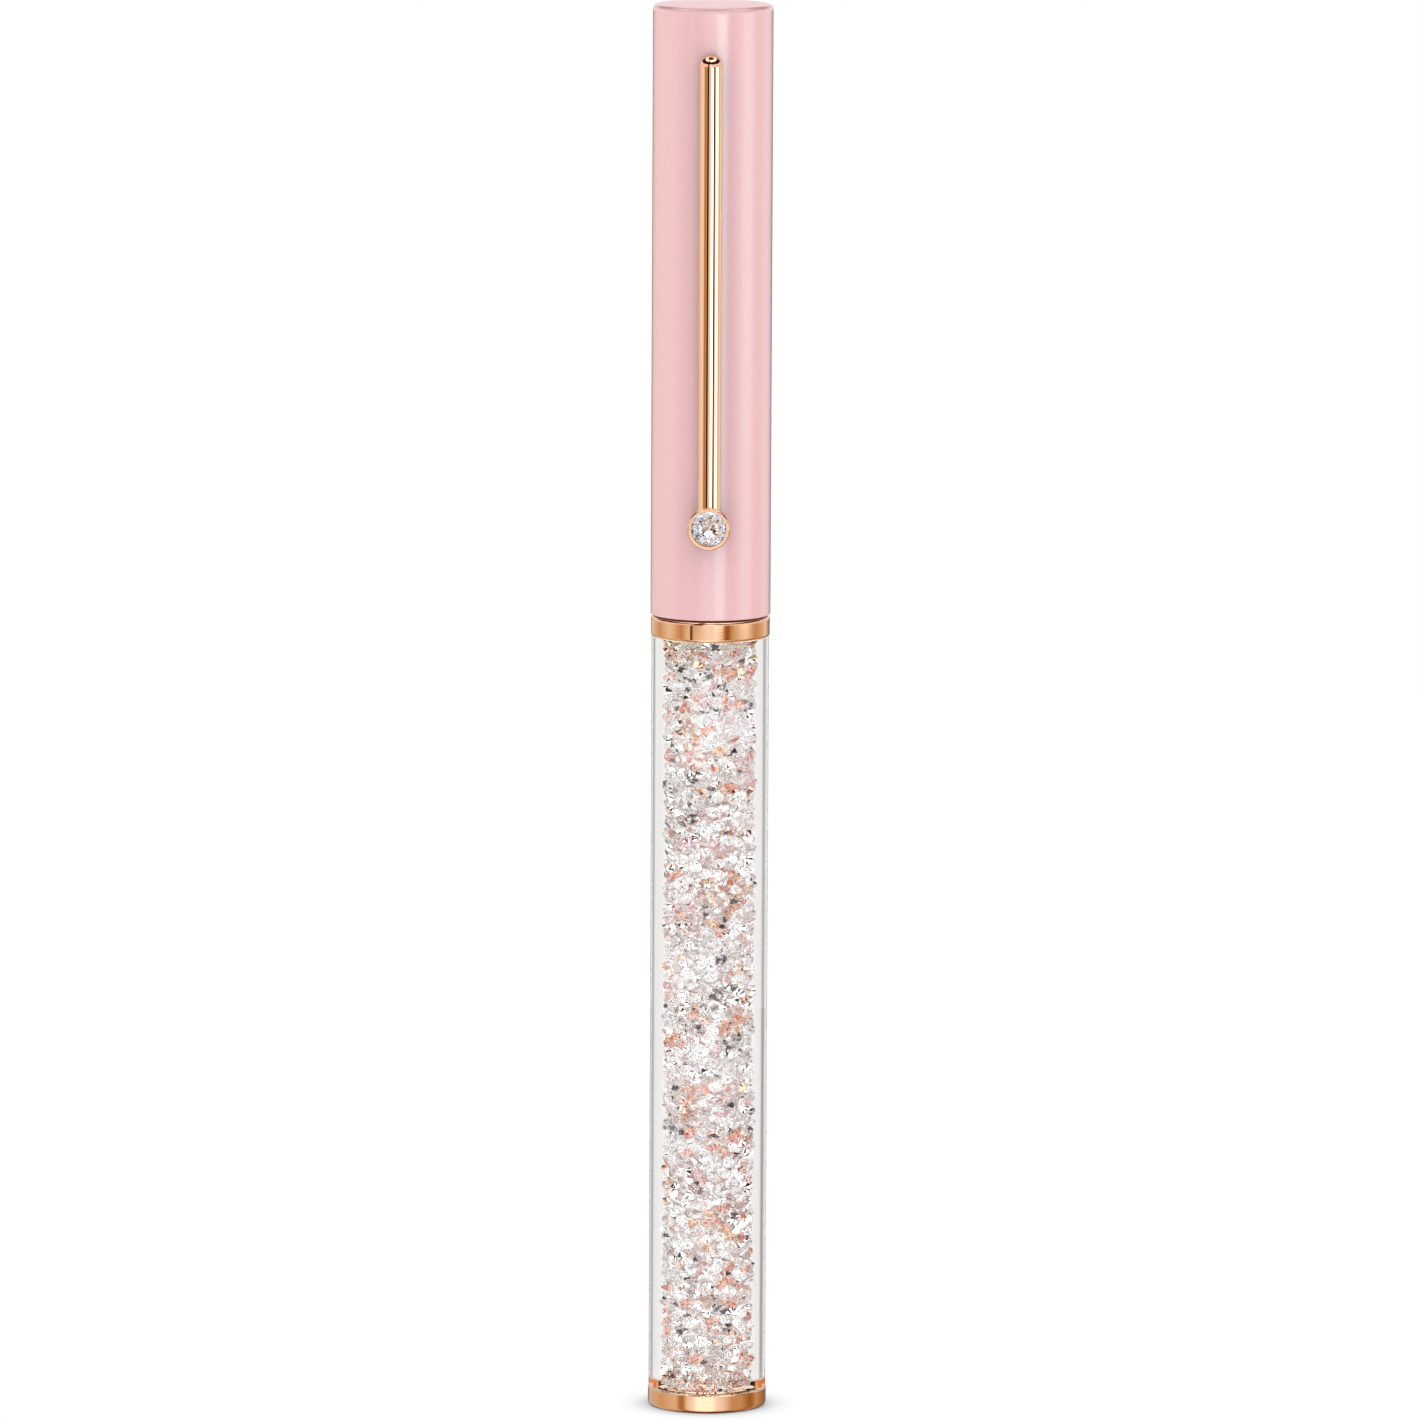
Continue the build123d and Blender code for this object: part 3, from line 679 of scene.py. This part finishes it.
def reach(axes, sizes, directions):
    """How far each stone, taken as a thick disc, reaches from its centre in a direction."""
    along = np.abs(np.sum(axes * directions, axis=1))
    return sizes * (np.sqrt(1 - along ** 2) + 0.5 * (CROWN_HEIGHT + PAVILION_DEPTH) * along)


def neighbours(centres, distance):
    """The pairs of stones whose centres lie nearer than this."""
    tree = KDTree(len(centres))
    for index, centre in enumerate(centres):
        tree.insert(centre, index)
    tree.balance()
    pairs = [
        (index, other)
        for index, centre in enumerate(centres)
        for _, other, _ in tree.find_range(centre, distance)
        if other > index
    ]
    return np.array(pairs).T


def unit(vectors):
    return vectors / np.maximum(np.linalg.norm(vectors, axis=1, keepdims=True), 1e-12)


def packed_stones():
    """Centres, axes and sizes of the stones, shaken until they lie clear of each other and the walls."""
    draw = np.random.RandomState(STONE_SEED)
    low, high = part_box("crystal_fill")
    well_low, well_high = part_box("refill_well")
    radius, well_radius = high.x + STONE_REACH, well_high.x
    turn = draw.uniform(0, TURN, STONE_COUNT)
    out = radius * np.sqrt(draw.uniform(0, 1, STONE_COUNT))
    centres = np.stack(
        [out * np.cos(turn), out * np.sin(turn), draw.uniform(low.z, high.z, STONE_COUNT)], axis=1
    )
    axes = unit(draw.normal(size=(STONE_COUNT, 3)))
    sizes = draw.uniform(*STONE_SIZES, STONE_COUNT)
    at_wall = (out > WALL_LAYER * radius) & (draw.uniform(0, 1, STONE_COUNT) < FACING_SHARE)
    axes[at_wall] = unit(unit(centres * (1, 1, 0))[at_wall] + FACING_TILT * axes[at_wall])
    up = np.array([[0.0, 0.0, 1.0]])
    for step in range(PACKING_STEPS):
        if step % PAIRING_STEPS == 0:
            first, second = neighbours(centres, PAIRING_REACH * STONE_SIZES[1])
        apart = centres[second] - centres[first]
        distance = np.linalg.norm(apart, axis=1)
        direction = unit(apart)
        need = reach(axes[first], sizes[first], direction)
        need += reach(axes[second], sizes[second], direction)
        push = 0.5 * np.maximum(need - distance, 0)[:, None] * direction
        np.add.at(centres, first, -PACKING_PUSH * push)
        np.add.at(centres, second, PACKING_PUSH * push)
        outward = unit(centres * (1, 1, 0))
        beside = reach(axes, sizes, outward)
        upright = reach(axes, sizes, up)
        away = np.linalg.norm(centres[:, :2], axis=1)
        beside_well = centres[:, 2] + upright > well_low.z
        nearest = np.where(beside_well, np.minimum(well_radius + beside, radius - beside), 0)
        kept = np.clip(away, nearest, radius - beside)
        centres[:, :2] = outward[:, :2] * kept[:, None]
        centres[:, 2] = np.clip(centres[:, 2], low.z + upright, high.z - upright)
    return centres, axes, sizes


def cut_stones(name, places, tint, foiled_sectors):
    """One joined piece of cut stones. A place is a centre, an axis, a girdle radius and a spin."""
    shape, shape_faces, sectors = stone_shape()
    points, faces = [], []
    for centre, axis, size, spin in places:
        turn = Vector((0, 0, 1)).rotation_difference(Vector(axis))
        matrix = np.array((turn @ Quaternion((0, 0, 1), spin)).to_matrix())
        start = len(points)
        points.extend(shape @ matrix.T * size + centre)
        faces.extend(tuple(start + corner for corner in face) for face in shape_faces)
    materials = [cut_glass(name)]
    if tint:
        materials.append(foil(name + "_foil", tint))
    piece = make_piece(name, points, faces, materials)
    foiled = (sectors > 0) & (sectors <= foiled_sectors)
    piece.data.polygons.foreach_set("material_index", np.tile(foiled, len(places)).astype(int))
    piece.visible_shadow = piece.visible_diffuse = False
    return piece


def loose_stones():
    """The stones in the tube, one joined piece for each kind of foil."""
    centres, axes, sizes = packed_stones()
    draw = np.random.RandomState(STONE_SEED + 1)
    spins = draw.uniform(0, TURN, STONE_COUNT)
    chosen = draw.choice(len(FOILS), size=STONE_COUNT, p=[foil_kind[-1] for foil_kind in FOILS])
    for kind, (name, tint, foiled_sectors, _) in enumerate(FOILS):
        places = [(centres[i], axes[i], sizes[i], spins[i]) for i in np.flatnonzero(chosen == kind)]
        piece = cut_stones(name, places, tint, foiled_sectors)
        if tint is None:
            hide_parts("crystal_fill")
        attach(piece, "barrel")


def clip_stone():
    """The single stone in the clip's bezel, silvered at the back."""
    low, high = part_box("clip_crystal")
    size = (high.x - low.x) / 2
    centre = (0.0, low.y + CROWN_HEIGHT * size, (low.z + high.z) / 2)
    place = (centre, (0, -1, 0), size, TURN / 16)
    piece = cut_stones("clip_stone", [place], CLIP_STONE_TINT, 8)
    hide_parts("clip_crystal")
    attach(piece, "clip")


def finish_nodes():
    """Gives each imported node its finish."""
    finishes = {
        "rose_gold": rose_gold(),
        "pink_lacquer": pearl_lacquer(),
        "turned_brass": turned_brass(),
        "clear_plastic": clear_plastic(),
        "white_plastic": white_plastic(),
        "spring_steel": spring_steel(),
        "seal_rubber": seal_rubber(),
        "nickel_silver": nickel_silver(),
        "tungsten_ball": tungsten_ball(),
        "gel_ink": gel_ink(),
        "follower_grease": follower_grease(),
    }
    for node in frame["nodes"].values():
        slot_name = node.material_slots[0].material.name
        if slot_name in finishes:
            node.material_slots[0].material = finishes[slot_name]
    frame["nodes"]["refill_well"].material_slots[0].material = frosted_plastic()


def place_camera():
    """A long lens in front of the pen, a little above it and to the right, aimed at its middle."""
    data = bpy.data.cameras.new("camera")
    data.sensor_width = 36
    data.lens = CAMERA_LENS
    camera = bpy.data.objects.new("camera", data)
    bpy.context.scene.collection.objects.link(camera)
    camera.location = (
        CAMERA_DISTANCE * math.sin(CAMERA_BEARING),
        -CAMERA_DISTANCE * math.cos(CAMERA_BEARING),
        CAMERA_HEIGHT,
    )
    aim = Vector((0, 0, AIM_SHARE * cad_high.z))
    looking = (aim - camera.location).to_track_quat("-Z", "Y")
    camera.rotation_mode = "QUATERNION"
    camera.rotation_quaternion = looking @ Quaternion((0, 0, 1), CAMERA_ROLL)
    bpy.context.scene.camera = camera


def lay_floor():
    """A metre of white paper under the pen."""
    half = 0.5
    corners = [(-half, -half, 0), (half, -half, 0), (half, half, 0), (-half, half, 0)]
    floor = make_piece("floor", corners, [(0, 1, 2, 3)], [floor_white()])


scene = bpy.context.scene
scene.view_settings.view_transform = "Standard"
scene.cycles.max_bounces = LIGHT_BOUNCES
scene.cycles.glossy_bounces = LIGHT_BOUNCES
scene.cycles.transmission_bounces = LIGHT_BOUNCES
scene.cycles.caustics_reflective = False  # gold lights no patch on the floor: its shadow stays grey
place_camera()
light_tent()
lay_floor()
finish_nodes()
clear_tube()
threaded_socket()
well_spring()
clip_stone()
loose_stones()
